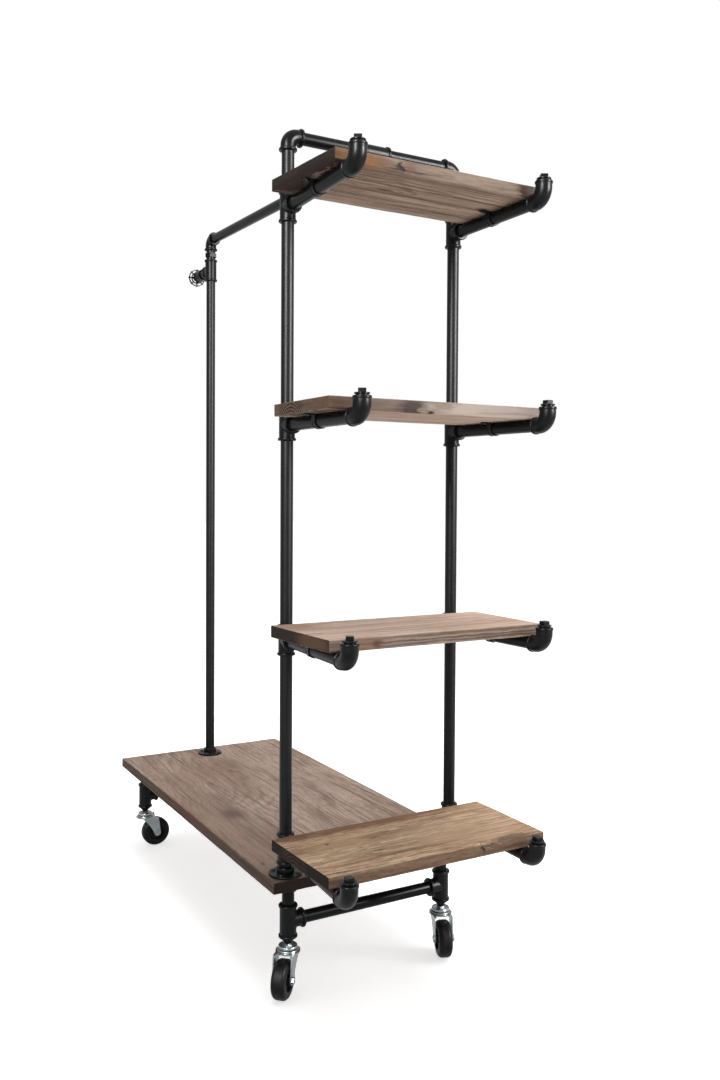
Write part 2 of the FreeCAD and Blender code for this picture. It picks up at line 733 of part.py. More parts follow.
def make_caster_stem():
    """Stem with its hexagon, dished cap and kingpin, all fixed to the leg."""
    kingpin_low_z = crown_low_z - race_gap
    kingpin = rod(kingpin_diameter, z_axis * kingpin_low_z, z_axis, cap_low_z - kingpin_low_z)
    head_z = kingpin_low_z - kingpin_head_height
    head = rod(kingpin_head_diameter, z_axis * head_z, z_axis, kingpin_head_height)
    cap = rounded_rod(cap_diameter, z_axis * cap_low_z, z_axis, cap_height, cap_round)
    dish_base = z_axis * (cap_top_z - cap_dish_depth)
    dish = rod(cap_dish_diameter, dish_base, z_axis, cap_dish_depth + cut_overrun)
    boss = rod(cap_boss_diameter, dish_base, z_axis, cap_dish_depth)
    hex_base = hexagon(stem_hex_width, dish_base, cap_dish_depth + stem_hex_height)
    stem = rod(caster_stem_diameter, z_axis * cap_low_z, z_axis, caster_height + thread_depth - cap_low_z)
    return kingpin.multiFuse([head, cap.cut(dish), boss, hex_base, stem]).removeSplitter()


def tangent_point(point, centre, radius, side):
    """Where a line from a point touches a circle, in the XZ plane; side is 1 or -1."""
    across = point - centre
    base = math.atan2(across.z, across.x)
    spread = math.acos(radius / across.Length)
    angle = base + side * spread
    return centre + Vector(radius * math.cos(angle), 0, radius * math.sin(angle))


def make_fork():
    """The pressed fork: crown, ball race and two legs."""
    crown = rod(fork_crown_diameter, z_axis * crown_low_z, z_axis, fork_crown_plate)
    tail_corner = Vector(0, -fork_outer / 2, crown_low_z)
    tail = Part.makeBox(fork_crown_tail, fork_outer, fork_crown_plate, tail_corner)
    notch_width = fork_inner - 2 * fork_shoulder
    notch_corner = Vector(fork_notch_start, -notch_width / 2, crown_low_z - cut_overrun)
    notch = Part.makeBox(fork_crown_tail, notch_width, fork_crown_plate + 2 * cut_overrun, notch_corner)
    tail = tail.cut(notch)
    race_base = z_axis * crown_low_z
    race = rounded_rod(race_diameter, race_base, z_axis, race_top_z - crown_low_z, race_round)
    end_radius = fork_leg_end_diameter / 2
    front = Vector(fork_leg_front, 0, crown_top_z)
    rear = Vector(fork_crown_tail, 0, crown_top_z)
    front_touch = tangent_point(front, axle_centre, end_radius, 1)
    rear_touch = tangent_point(rear, axle_centre, end_radius, -1)
    low = axle_centre - z_axis * end_radius
    inward = y_axis.cross(front - front_touch)
    inward.normalize()
    front_middle = (front + front_touch) / 2 + inward * fork_leg_sweep
    edges = [Part.Arc(front, front_middle, front_touch).toShape(),
             Part.Arc(front_touch, low, rear_touch).toShape(),
             Part.makeLine(rear_touch, rear),
             Part.makeLine(rear, front)]
    leg = Part.Face(Part.Wire(edges)).extrude(y_axis * fork_plate)
    legs = []
    for start in (-fork_outer / 2, fork_inner / 2):
        moved = leg.copy()
        moved.translate(y_axis * start)
        legs.append(moved)
    body = crown.multiFuse([tail, race] + legs)
    bore_start = z_axis * (crown_low_z - cut_overrun)
    bore_length = fork_crown_plate + race_height + 2 * cut_overrun
    kingpin_bore = rod(kingpin_diameter + 2 * running_clearance, bore_start, z_axis, bore_length)
    axle_bore = rod(axle_diameter + 2 * socket_clearance, axle_centre - y_axis * fork_outer, y_axis,
                    2 * fork_outer)
    return body.cut(Part.makeCompound([kingpin_bore, axle_bore])).removeSplitter()


def make_axle():
    """The axle bolt and its nut."""
    grip = fork_outer + axle_nut_height
    bolt = rod(axle_diameter, Vector(), z_axis, grip)
    bolt = bolt.fuse(hexagon(axle_hex_width, -z_axis * axle_head_height, axle_head_height))
    nut = make_nut(axle_hex_width, axle_nut_height, axle_diameter + 2 * socket_clearance)
    start = axle_centre - y_axis * (fork_outer / 2)
    return [place(bolt.removeSplitter(), start, x_axis, y_axis),
            place(nut, start + y_axis * fork_outer, x_axis, y_axis)]


def make_hub():
    """The wheel's core: rim, web and boss, on the axle."""
    side = Vector(0, -wheel_width / 2, 0)
    rim = rod(tyre_inner_diameter - 2 * running_clearance, side, y_axis, wheel_width)
    hollow = rod(tyre_inner_diameter - 2 * hub_rim_wall, side - y_axis * cut_overrun, y_axis,
                 wheel_width + 2 * cut_overrun)
    web = rod(tyre_inner_diameter - hub_rim_wall, Vector(0, -hub_web_width / 2, 0), y_axis, hub_web_width)
    boss_length = fork_inner - 2 * hub_side_gap
    boss = rod(hub_boss_diameter, Vector(0, -boss_length / 2, 0), y_axis, boss_length)
    bore = rod(axle_diameter + 2 * running_clearance, Vector(0, -fork_outer, 0), y_axis, 2 * fork_outer)
    body = rim.cut(hollow).multiFuse([web, boss]).cut(bore).removeSplitter()
    body.translate(axle_centre)
    return body


def make_tyre():
    """The rubber tyre on the core's rim."""
    start = Vector(0, -wheel_width / 2, 0)
    body = rounded_rod(wheel_diameter, start, y_axis, wheel_width, tyre_shoulder_round)
    hole = rod(tyre_inner_diameter, start - y_axis * cut_overrun, y_axis, wheel_width + 2 * cut_overrun)
    body = body.cut(hole)
    body.translate(axle_centre)
    return body


stem_shape = make_caster_stem()
fork_shape = make_fork()
axle_shapes = make_axle()
hub_shape = make_hub()
tyre_shape = make_tyre()
stems = []
for corner, spot in leg_spots.items():
    heading = math.radians(caster_headings[corner])
    trailing = Vector(math.cos(heading), math.sin(heading), 0)
    stems.append(place(stem_shape, spot, x_axis, z_axis))
    write(corner + "_fork", [place(fork_shape, spot, trailing, z_axis)])
    rolled = FreeCAD.Placement(spot, FreeCAD.Rotation(z_axis, caster_headings[corner]))
    write(corner + "_axle", [shape.transformed(rolled.toMatrix()) for shape in axle_shapes])
    write(corner + "_hub", [hub_shape.transformed(rolled.toMatrix())])
    write(corner + "_tyre", [tyre_shape.transformed(rolled.toMatrix())])
write("caster_stems", stems)
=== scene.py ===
import bpy
import json
import math
from mathutils import Matrix, Vector, noise


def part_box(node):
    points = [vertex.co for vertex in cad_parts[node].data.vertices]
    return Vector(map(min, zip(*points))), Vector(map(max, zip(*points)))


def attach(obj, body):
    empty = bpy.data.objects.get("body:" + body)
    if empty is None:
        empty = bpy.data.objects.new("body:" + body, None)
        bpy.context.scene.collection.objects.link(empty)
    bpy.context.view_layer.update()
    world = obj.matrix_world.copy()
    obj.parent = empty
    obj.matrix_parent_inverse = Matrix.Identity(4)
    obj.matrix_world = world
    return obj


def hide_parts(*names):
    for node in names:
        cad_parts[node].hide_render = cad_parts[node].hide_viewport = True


# Rolling pipe rack: plank deck and shelves on screwed black pipe.
# Metres, in the frame's own axes. Marks and wear on the planks are in millimetres.

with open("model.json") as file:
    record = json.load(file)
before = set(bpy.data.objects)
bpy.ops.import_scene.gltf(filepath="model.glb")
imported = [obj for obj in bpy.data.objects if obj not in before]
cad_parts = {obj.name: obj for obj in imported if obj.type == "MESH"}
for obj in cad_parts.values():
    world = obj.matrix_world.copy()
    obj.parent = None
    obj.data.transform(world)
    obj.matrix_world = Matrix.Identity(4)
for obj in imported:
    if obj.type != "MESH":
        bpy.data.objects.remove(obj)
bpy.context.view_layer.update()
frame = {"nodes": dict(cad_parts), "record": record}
nodes = frame["nodes"]
scene = bpy.context.scene
millimetre = 0.001


# Camera, from the photograph's perspective

photo_height = 1080.0
focal_pixels = 983.7
axis_above_middle_pixels = 24.8
sensor = 36.0
far_clip = 100
eye = Vector((-1.1183, -2.2904, 1.0850))
yaw = math.radians(29.81)
pitch = math.radians(-1.36)
roll = math.radians(0.316)


def add_camera():
    """The camera at the photograph's place, with the frame's small vertical offset."""
    level = math.cos(pitch)
    ahead = Vector((math.sin(yaw) * level, math.cos(yaw) * level, math.sin(pitch)))
    level_right = Vector((math.cos(yaw), -math.sin(yaw), 0))
    level_up = level_right.cross(ahead)
    right = level_right * math.cos(roll) + level_up * math.sin(roll)
    up = level_up * math.cos(roll) - level_right * math.sin(roll)
    data = bpy.data.cameras.new("camera")
    data.sensor_fit = "VERTICAL"
    data.sensor_height = sensor
    data.lens = sensor * focal_pixels / photo_height
    data.shift_y = -axis_above_middle_pixels / photo_height
    data.clip_end = far_clip
    camera = bpy.data.objects.new("camera", data)
    turn = Matrix((right, up, -ahead)).transposed()
    camera.matrix_world = Matrix.Translation(eye) @ turn.to_4x4()
    scene.collection.objects.link(camera)
    scene.camera = camera


add_camera()
scene.view_settings.view_transform = "Standard"


# Shader node helpers

def linear(red, green, blue):
    """A colour in 0 to 255 screen values, taken through the sRGB curve for the shaders."""
    values = []
    for value in (red, green, blue):
        share = value / 255
        values.append(share / 12.92 if share <= 0.04045 else ((share + 0.055) / 1.055) ** 2.4)
    return (*values, 1.0)


class Shader:
    """A material's node tree, with one short call for each node."""

    def __init__(self, name):
        self.material = bpy.data.materials.new(name)
        self.material.use_nodes = True
        self.tree = self.material.node_tree
        self.bsdf = self.tree.nodes["Principled BSDF"]

    def node(self, kind, inputs=(), **settings):
        """A node whose inputs are values or the outputs of other nodes."""
        made = self.tree.nodes.new(kind)
        for key, value in settings.items():
            setattr(made, key, value)
        for key, value in dict(inputs).items():
            self.join(value, made.inputs[key])
        return made

    def join(self, value, socket):
        """Links an output to a socket, or sets the socket's own value."""
        if isinstance(value, bpy.types.NodeSocket):
            self.tree.links.new(value, socket)
        else:
            socket.default_value = value

    def math(self, operation, *values):
        inputs = dict(enumerate(values))
        return self.node("ShaderNodeMath", inputs, operation=operation).outputs[0]

    def coordinates(self):
        """A point on the piece, as one vector."""
        return self.node("ShaderNodeTexCoord").outputs["Object"]

    def parts(self, vector):
        """A vector's three parts."""
        return self.node("ShaderNodeSeparateXYZ", {0: vector}).outputs

    def scaled(self, point, *scales):
        """A point's three coordinates, each scaled by its own amount, as one vector."""
        values = [self.math("MULTIPLY", value, scale) for value, scale in zip(point, scales)]
        return self.node("ShaderNodeCombineXYZ", dict(enumerate(values))).outputs[0]

    def noise(self, vector, scale, detail, roughness, distortion=0.0):
        inputs = {"Vector": vector, "Scale": scale, "Detail": detail, "Roughness": roughness,
                  "Distortion": distortion}
        return self.node("ShaderNodeTexNoise", inputs).outputs["Fac"]

    def ramp(self, value, *stops):
        """A grey value that follows stops of (place, value)."""
        made = self.node("ShaderNodeValToRGB", {0: value})
        elements = made.color_ramp.elements
        elements.remove(elements[1])
        elements[0].position = stops[0][0]
        elements[0].color = (stops[0][1],) * 3 + (1,)
        for position, level in stops[1:]:
            elements.new(position).color = (level, level, level, 1)
        return made.outputs[0]

    def mix(self, share, first, second, blend="MIX"):
        """A colour between two others; the node keeps its colour sockets at these numbers."""
        share_input, first_input, second_input, colour_output = 0, 6, 7, 2
        made = self.node("ShaderNodeMix", data_type="RGBA", blend_type=blend)
        self.join(share, made.inputs[share_input])
        self.join(first, made.inputs[first_input])
        self.join(second, made.inputs[second_input])
        return made.outputs[colour_output]

    def shaded(self, colour, value, *stops):
        """A colour darkened by a value that follows stops of (place, brightness)."""
        return self.mix(1.0, colour, self.ramp(value, *stops), "MULTIPLY")

    def varied(self, value, swing, lowest):
        """A value from 0 to 1 turned into one from the lowest up by the swing."""
        return self.math("ADD", self.math("MULTIPLY", value, swing), lowest)

    def bump(self, height, distance, strength):
        inputs = {"Height": height, "Distance": distance, "Strength": strength}
        self.join(self.node("ShaderNodeBump", inputs).outputs[0], self.bsdf.inputs["Normal"])

    def set(self, **values):
        """Sets or links inputs of the surface shader; underscores stand for spaces."""
        for key, value in values.items():
            self.join(value, self.bsdf.inputs[key.replace("_", " ")])


# Stage: pale floor, white surroundings and soft lamps

def seen_directly(shader):
    """One where the camera, a reflection or a transparent surface looks, else zero."""
    path = shader.node("ShaderNodeLightPath").outputs
    shown = shader.math("MAXIMUM", path["Is Camera Ray"], path["Is Glossy Ray"])
    return shader.math("MAXIMUM", shown, path["Is Transmission Ray"])


def add_stage():
    """A floor that takes the shadow and meets the white surroundings without an edge."""
    half = 30.0
    floor_white = 0.86
    near, far = 0.9, 3.2
    near_lift, far_lift = 0.62, 0.72
    mesh = bpy.data.meshes.new("floor")
    corners = [(-half, -half, 0), (half, -half, 0), (half, half, 0), (-half, half, 0)]
    mesh.from_pydata(corners, [], [(0, 1, 2, 3)])
    floor = bpy.data.objects.new("floor", mesh)
    scene.collection.objects.link(floor)
    shader = Shader("pale_floor")
    shader.set(Base_Color=(floor_white, floor_white, floor_white, 1), Roughness=1.0,
               Specular_IOR_Level=0.0)
    distance = shader.node("ShaderNodeVectorMath", {0: shader.coordinates()}, operation="LENGTH")
    spread = {0: distance.outputs["Value"], 1: near, 2: far, 3: near_lift, 4: far_lift}
    lift = shader.node("ShaderNodeMapRange", spread).outputs[0]
    glow = shader.math("MULTIPLY", seen_directly(shader), lift)
    shader.set(Emission_Color=(1, 1, 1, 1), Emission_Strength=glow)
    mesh.materials.append(shader.material)


class WorldShader(Shader):
    """The surroundings' node tree."""

    def __init__(self, world):
        world.use_nodes = True
        self.tree = world.node_tree
        self.bsdf = self.tree.nodes["Background"]


def add_surroundings():
    """White to look at, and a dimmer even light on the object."""
    ambient = 0.45
    scene.world = bpy.data.worlds.new("surroundings")
    shader = WorldShader(scene.world)
    strength = shader.math("MAXIMUM", seen_directly(shader), ambient)
    shader.set(Color=(1, 1, 1, 1), Strength=strength)


def add_lamp(name, place, target, width, height, power):
    """A soft rectangular lamp that faces a point."""
    data = bpy.data.lights.new(name, "AREA")
    data.shape = "RECTANGLE"
    data.size = width
    data.size_y = height
    data.energy = power
    lamp = bpy.data.objects.new(name, data)
    lamp.location = place
    towards = Vector(target) - Vector(place)
    lamp.rotation_euler = towards.to_track_quat("-Z", "Y").to_euler()
    scene.collection.objects.link(lamp)
    return lamp


def add_lamps():
    """Two lamps that light the rack, and two strips that only show as streaks on the paint."""
    top = add_lamp("top_lamp", (0.6, -0.6, 4.2), (0, 0, 0.6), width=3.0, height=3.0, power=175)
    right = add_lamp("right_lamp", (3.2, -2.2, 2.2), (0, 0, 1.0), width=1.2, height=2.4, power=42)
    for lamp in (top, right):
        lamp.visible_glossy = False
    strips = {"right_strip": ((1.81, -3.04, 2.15), 1.4), "left_strip": ((-2.64, -2.2, 2.5), 1.5)}
    for name, (place, height) in strips.items():
        level_target = (0, -0.4, place[2])
        strip = add_lamp(name, place, level_target, width=0.4, height=height, power=520)
        strip.visible_diffuse = False


add_stage()
add_surroundings()
add_lamps()


# Wood

# Noises over a plank: scales along and across the grain, detail, roughness and distortion
grain_noises = {
    "flow": (4.0, 7.0, 2.0, 0.5, 0.0),
    "swirl": (1.5, 5.0, 1.5, 0.5, 0.0),
    "ripple": (6.0, 60.0, 2.0, 0.5, 0.0),
    "fade": (2.6, 9.0, 2.0, 0.5, 0.0),
    "streak": (11.0, 380.0, 4.0, 0.65, 0.0),
    "fibre": (4.5, 130.0, 3.0, 0.6, 0.0),
    "fleck": (30.0, 150.0, 4.0, 0.7, 0.5),
    "band": (1.7, 52.0, 3.0, 0.62, 0.0),
    "patch": (4.5, 13.0, 4.0, 0.65, 0.0),
    "split": (3.2, 190.0, 2.0, 0.4, 0.0),
}

# Stops of (value, level) that turn noises and distances into shares and brightness
late_wood_stops = ((0.0, 0.3), (0.14, 0.0), (0.5, 0.16), (0.84, 0.95), (0.93, 1.0), (1.0, 0.3))
end_ring_stops = ((0.0, 0.3), (0.2, 0.0), (0.45, 0.2), (0.68, 1.0), (0.9, 1.0), (1.0, 0.3))
end_ring_reach_stops = ((0.0, 0.95), (0.046, 0.9), (0.064, 0.1))
knot_core_stops = ((0.25, 0.0), (0.5, 0.3), (0.72, 0.8), (0.9, 1.0))
figure_stops = ((0.36, 0.15), (0.62, 1.0))
split_stops = ((0.63, 0.0), (0.72, 1.0))
broken_crack_stops = ((0.3, 0.35), (0.55, 1.0))
sawn_end_stops = ((0.3, 0.6), (0.55, 1.0))
stain_and_shade_fibre_stops = ((0.3, 0.72), (0.5, 1.0))


class Wood(Shader):
    """Stained, weathered softwood cut from a trunk whose axis lies along the grain."""

    def __init__(self, name, grain, low, high, look):
        super().__init__(name)
        self.look = look
        self.along_axis, self.across_axis = (0, 1) if grain == "X" else (1, 0)
        x, y, z = self.parts(self.coordinates())
        self.spot = [x, y, self.math("SUBTRACT", z, high.z)]
        middle = ((low.x + high.x) / 2, (low.y + high.y) / 2, (low.z - high.z) / 2)
        point = [self.math("SUBTRACT", *pair) for pair in zip(self.spot, middle)]
        self.straight = (point[self.along_axis], point[self.across_axis], point[2])
        along, across, up = self.straight
        flow = self.centred(self.grain("flow", self.straight), look["wander"])
        self.wavy = (along, self.math("ADD", across, flow), up)
        self.ragged = self.ragged_spot()
        self.from_pith = self.math("SUBTRACT", self.wavy[1], look["pith_across"])
        self.trunk = self.trunk_radius()
        self.facing = self.parts(self.node("ShaderNodeNewGeometry").outputs["True Normal"])
        shared = ("streak", "fibre", "fleck", "band", "patch", "split")
        self.noises = {key: self.grain(key, self.wavy) for key in shared}
        self.split = self.ramp(self.noises["split"], *split_stops)

    def grain(self, key, point):
        """One of the plank's noises, drawn out along the grain."""
        along, across, detail, roughness, distortion = grain_noises[key]
        drawn = self.scaled(point, along, across, across)
        return self.noise(drawn, 1.0, detail, roughness, distortion)

    def centred(self, value, size):
        """A noise value moved to lie about zero, with the given size."""
        return self.math("MULTIPLY", self.math("SUBTRACT", value, 0.5), size)

    def ragged_spot(self):
        """The spot with small wandering offsets, longer along the grain, for torn edges."""
        reach = [0.014, 0.014, 0.008]
        reach[self.along_axis] = 0.05
        scales = [55.0, 55.0, 90.0]
        scales[self.along_axis] = 22.0
        inputs = {"Vector": self.scaled(self.spot, *scales), "Scale": 1.0, "Detail": 3.0,
                  "Roughness": 0.65}
        wander = self.parts(self.node("ShaderNodeTexNoise", inputs).outputs["Color"])
        return [self.math("ADD", value, self.centred(offset, size))
                for value, offset, size in zip(self.spot, wander, reach)]

    def squares(self, first, second):
        return self.math("ADD", self.math("MULTIPLY", first, first),
                         self.math("MULTIPLY", second, second))

    def bell(self, square):
        """One where a squared distance is zero, falling off smoothly."""
        return self.math("EXPONENT", self.math("MULTIPLY", square, -1.0))

    def ellipsoid(self, point, place, reach):
        """A bell round a place, with its own reach along each axis, both in millimetres."""
        total = 0.0
        for value, centre, size in zip(point, place, reach):
            off = self.math("SUBTRACT", value, centre * millimetre)
            off = self.math("DIVIDE", off, size * millimetre)
            total = self.math("ADD", total, self.math("MULTIPLY", off, off))
        return self.bell(total)

    def trunk_radius(self):
        """Distance from the pith, which leans a little along the plank."""
        lean = self.math("MULTIPLY", self.wavy[0], self.look["taper"])
        above = self.math("SUBTRACT", self.wavy[2], self.look["pith_up"])
        return self.math("SQRT", self.squares(self.from_pith, self.math("ADD", above, lean)))

    def growth(self, knots):
        """Dark late wood of the growth rings, bent round the knots, and the knots' cores."""
        swirl = self.centred(self.grain("swirl", self.straight), self.look["swirl"])
        radius = self.math("ADD", self.trunk, swirl)
        cores = 0.0
        for place, reach, spread, bulge in knots:
            swell = self.ellipsoid(self.spot, place, [size * spread for size in reach])
            radius = self.math("ADD", radius, self.math("MULTIPLY", swell, bulge))
            core = self.ramp(self.ellipsoid(self.ragged, place, reach), *knot_core_stops)
            cores = self.math("MAXIMUM", cores, core)
        ripple = self.math("MULTIPLY", self.grain("ripple", self.wavy), self.look["ripple"])
        turns = self.math("ADD", self.math("DIVIDE", radius, self.look["ring"]), ripple)
        return self.ramp(self.math("FRACT", turns), *late_wood_stops), cores

    def figured(self, late):
        """The colour of rings, bands, patches, streaks, flecks and splits."""
        look = self.look
        streak, fibre, fleck, band, patch = [
            self.noises[key] for key in ("streak", "fibre", "fleck", "band", "patch")]
        low_streak = 1.0 - look["streak"]
        low_fibre = 1.0 - 0.7 * look["streak"]
        low_fleck = 1.0 - look["fleck"]
        figure = self.math("MULTIPLY", late,
                           self.ramp(self.grain("fade", self.wavy), *figure_stops))
        rings = self.math("MULTIPLY", figure, look["contrast"])
        bands = self.ramp(band, (0.38, 0.0), (0.68, look["banding"]))
        patches = self.ramp(patch, (0.45, 0.0), (0.72, look["patching"]))
        pale_flecks = self.ramp(fleck, (0.58, 0.0), (0.76, look["fleck"]))
        splits = self.math("MULTIPLY", self.split, look["splits"])
        colour = self.mix(rings, look["early"], look["late"])
        colour = self.mix(bands, colour, look["band"])
        colour = self.mix(patches, colour, look["red"])
        colour = self.shaded(colour, streak, (0.25, low_streak), (0.5, 0.96), (0.75, 1.0))
        colour = self.shaded(colour, fibre, (0.3, low_fibre), (0.5, 0.96), (0.72, 1.0))
        colour = self.shaded(colour, fleck, (0.3, low_fleck), (0.5, 0.95), (0.7, 1.0))
        colour = self.mix(pale_flecks, colour, look["pale"])
        return self.mix(splits, colour, look["dark"])

    def cracked(self, colour, cracks):
        """Dark broken lines along the grain."""
        half_height = 0.012
        broken = self.ramp(self.noises["patch"], *broken_crack_stops)
        for across, up, half_width, strength in cracks:
            off_across = self.math("SUBTRACT", self.ragged[self.across_axis], across)
            off_across = self.math("DIVIDE", off_across, half_width)
            off_up = self.math("DIVIDE", self.math("SUBTRACT", self.spot[2], up), half_height)
            line = self.bell(self.squares(off_across, off_up))
            line = self.math("MULTIPLY", self.math("MULTIPLY", line, broken), strength)
            colour = self.mix(line, colour, self.look["dark"])
        return colour

    def facing_share(self, axis, level):
        """The given level on faces that look along an axis, and none on the others."""
        return self.ramp(self.math("ABSOLUTE", self.facing[axis]), (0.55, 0.0), (0.85, level))

    def stained_and_shaded(self, colour, stains_and_shade):
        """Patches of other colours, broken up by the grain: stains, and painted shadow where a mark
        stands for shade.
        """
        texture = self.math("ADD", self.math("MULTIPLY", self.noises["patch"], 0.5),
                            self.math("MULTIPLY", self.noises["streak"], 0.35))
        texture = self.math("ADD", texture, 0.58)
        for place, reach, mark_colour, strength in stains_and_shade:
            mask = self.math("MULTIPLY", self.ellipsoid(self.ragged, place, reach), texture)
            mask = self.ramp(mask, (0.12, 0.0), (0.62, strength))
            stain_and_shade = self.shaded(mark_colour, self.noises["fibre"], *stain_and_shade_fibre_stops)
            colour = self.mix(mask, colour, stain_and_shade)
        return colour

    def end_grain(self, end_stains):
        """The sawn end's colour: arcs of the rings near the pith, saw marks and stains."""
        arcs = self.math("FRACT", self.math("DIVIDE", self.trunk, self.look["ring"]))
        reach = self.ramp(self.math("ABSOLUTE", self.from_pith), *end_ring_reach_stops)
        arcs = self.math("MULTIPLY", self.ramp(arcs, *end_ring_stops), reach)
        colour = self.mix(arcs, self.look["end"], self.look["dark"])
        sawn = self.noise(self.scaled(self.straight, 60.0, 18.0, 160.0), 1.0, 3.0, 0.6)
        colour = self.shaded(colour, sawn, *sawn_end_stops)
        for place, reach, mark_colour, strength in end_stains:
            mask = self.ellipsoid(self.ragged, place, reach)
            colour = self.mix(self.ramp(mask, (0.15, 0.0), (0.6, strength)), colour, mark_colour)
        return colour

    def surface(self, late):
        """Mat roughness and the relief of rings, streaks, flecks and splits."""
        streak = self.noises["streak"]
        self.set(Specular_IOR_Level=0.06, Roughness=self.varied(streak, 0.2, 0.64))
        height = self.math("ADD", self.math("MULTIPLY", late, 0.3),
                           self.math("MULTIPLY", streak, 0.6))
        flecks = self.math("MULTIPLY", self.noises["fleck"], self.look["fleck"])
        height = self.math("ADD", height, flecks)
        height = self.math("SUBTRACT", height, self.math("MULTIPLY", self.split, 0.8))
        self.bump(height, 0.0009, 0.8)


def wood(name, grain, low, high, look, knots=(), stains_and_shade=(), cracks=(), end_stains=()):
    """A plank's own wood, with its marks."""
    knot_strength = 0.85
    shader = Wood(name, grain, low, high, look)
    late, cores = shader.growth(knots)
    colour = shader.cracked(shader.figured(late), cracks)
    sides = shader.facing_share(shader.across_axis, look["side"])
    colour = shader.stained_and_shaded(shader.mix(sides, colour, look["dark"]), stains_and_shade)
    colour = shader.mix(shader.math("MULTIPLY", cores, knot_strength), colour, look["knot"])
    ends = shader.facing_share(shader.along_axis, 1.0)
    shader.set(Base_Color=shader.mix(ends, colour, shader.end_grain(end_stains)))
    shader.surface(late)
    return shader.material


# Planks

def grid_lines(low, high, step, extra=()):
    """Places of a plank's grid lines along one axis, close together near the edges."""
    closest = 0.2 * millimetre
    near = [offset * millimetre for offset in (0.0, 0.5, 1.1, 1.9, 3.0, 4.6, 7.0, 10.0)]
    near = [offset for offset in near if offset < (high - low) / 2]
    inner_low = low + near[-1]
    inner_high = high - near[-1]
    count = max(1, round((inner_high - inner_low) / step))
    regular = [inner_low + (inner_high - inner_low) * i / count for i in range(count + 1)]
    at_edges = [low + offset for offset in near] + [high - offset for offset in near]
    lines = sorted(at_edges + regular + list(extra))
    kept = [lines[0]]
    for line in lines[1:]:
        if line - kept[-1] > closest:
            kept.append(line)
    return kept


def lattice(xs, ys, zs):
    """Points and faces of the skin of a box that is cut along the given lines."""
    counts = (len(xs), len(ys), len(zs))
    index = {}
    points = []
    faces = []

    def corner(i, j, k):
        if (i, j, k) not in index:
            index[(i, j, k)] = len(points)
            points.append(Vector((xs[i], ys[j], zs[k])))
        return index[(i, j, k)]

    for axis in range(3):
        first, second = (axis + 1) % 3, (axis + 2) % 3
        for side in (0, counts[axis] - 1):
            for i in range(counts[first] - 1):
                for j in range(counts[second] - 1):
                    face = []
                    for step_i, step_j in ((0, 0), (1, 0), (1, 1), (0, 1)):
                        place = [0, 0, 0]
                        place[axis] = side
                        place[first] = i + step_i
                        place[second] = j + step_j
                        face.append(corner(*place))
                    faces.append(face if side else face[::-1])
    return points, faces


def worn_board(node, grain, material, step, chips=(), fine=None, left_skew=None):
    """A plank in place of its plain solid: worn edges, grain ridges, chips and a slanted end."""
    low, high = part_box(node)
    fine = fine or {}
    along_axis = 0 if grain == "X" else 1
    lines = [grid_lines(low[axis], high[axis], step[axis], fine.get(axis, ()))
             for axis in range(3)]
    points, faces = lattice(*lines)
    shaped = [worn_point(point, low, high, along_axis, chips) for point in points]
    if left_skew:
        front, back = left_skew
        for point in shaped:
            share_left = (high.x - point.x) / (high.x - low.x)
            share_back = (point.y - low.y) / (high.y - low.y)
            point.x += share_left * (front + (back - front) * share_back) * millimetre
    mesh = bpy.data.meshes.new(node + "_worn")
    mesh.from_pydata(shaped, [], faces)
    mesh.shade_smooth()
    mesh.materials.append(material)
    board = bpy.data.objects.new(node + "_worn", mesh)
    scene.collection.objects.link(board)
    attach(board, "frame")
    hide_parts(node)


# Wear, in millimetres, with the scales of its noises

edge_radius, edge_coarse, edge_fine, edge_least = 2.0, 1.3, 0.7, 0.5
edge_coarse_scale, edge_fine_scale = 22, 85
edge_fine_offset = Vector((3.1, 1.7, 0.4))
sink_all_over, ridge_height, sag_height = 0.4, 0.25, 0.25
ridge_scale, ridge_stretch, sag_scale = 55, 0.12, 5
chip_edge_coarse, chip_edge_fine, chip_slope = 0.45, 0.25, 2.2
chip_edge_coarse_scale, chip_edge_fine_scale = 130, 320
chip_floor, chip_floor_rough, chip_floor_scale = 0.75, 0.5, 210


def worn_point(point, low, high, along_axis, chips):
    """Where a point of the sawn plank lies after wear."""
    coarse = noise.noise(point * edge_coarse_scale)
    fine = noise.noise(point * edge_fine_scale + edge_fine_offset)
    edge = (edge_radius + edge_coarse * coarse + edge_fine * fine) * millimetre
    edge = max(edge, edge_least * millimetre)
    inside = Vector([min(max(point[axis], low[axis] + edge), high[axis] - edge)
                     for axis in range(3)])
    away = point - inside
    outward = Vector((0, 0, 0))
    if away.length > 0:
        outward = away.normalized()
        point = inside + outward * edge
    stretched = Vector(point)
    stretched[along_axis] *= ridge_stretch
    ridges = noise.noise(stretched * ridge_scale) * ridge_height * millimetre
    sag = noise.noise(point * sag_scale) * sag_height * millimetre
    sink = -sink_all_over * millimetre + ridges + sag
    for centre, reach, depth in chips:
        sink -= chip_depth(point - Vector((0, 0, high.z)), point, centre, reach, depth)
    return point + outward * sink


def chip_depth(spot, point, centre, reach, depth):
    """How deep a ragged chip goes at a spot, which counts its height from the plank's top."""
    off = spot - Vector(centre) * millimetre
    share = math.sqrt(sum((off[axis] / (reach[axis] * millimetre)) ** 2 for axis in range(3)))
    ragged = (1 + chip_edge_coarse * noise.noise(point * chip_edge_coarse_scale)
              + chip_edge_fine * noise.noise(point * chip_edge_fine_scale))
    if share >= ragged:
        return 0.0
    rough = chip_floor + chip_floor_rough * noise.noise(point * chip_floor_scale)
    return depth * millimetre * min(1.0, (ragged - share) * chip_slope) * rough


# Kinds of wood: colours, ring width and the pith's place in metres, and strengths of the figure

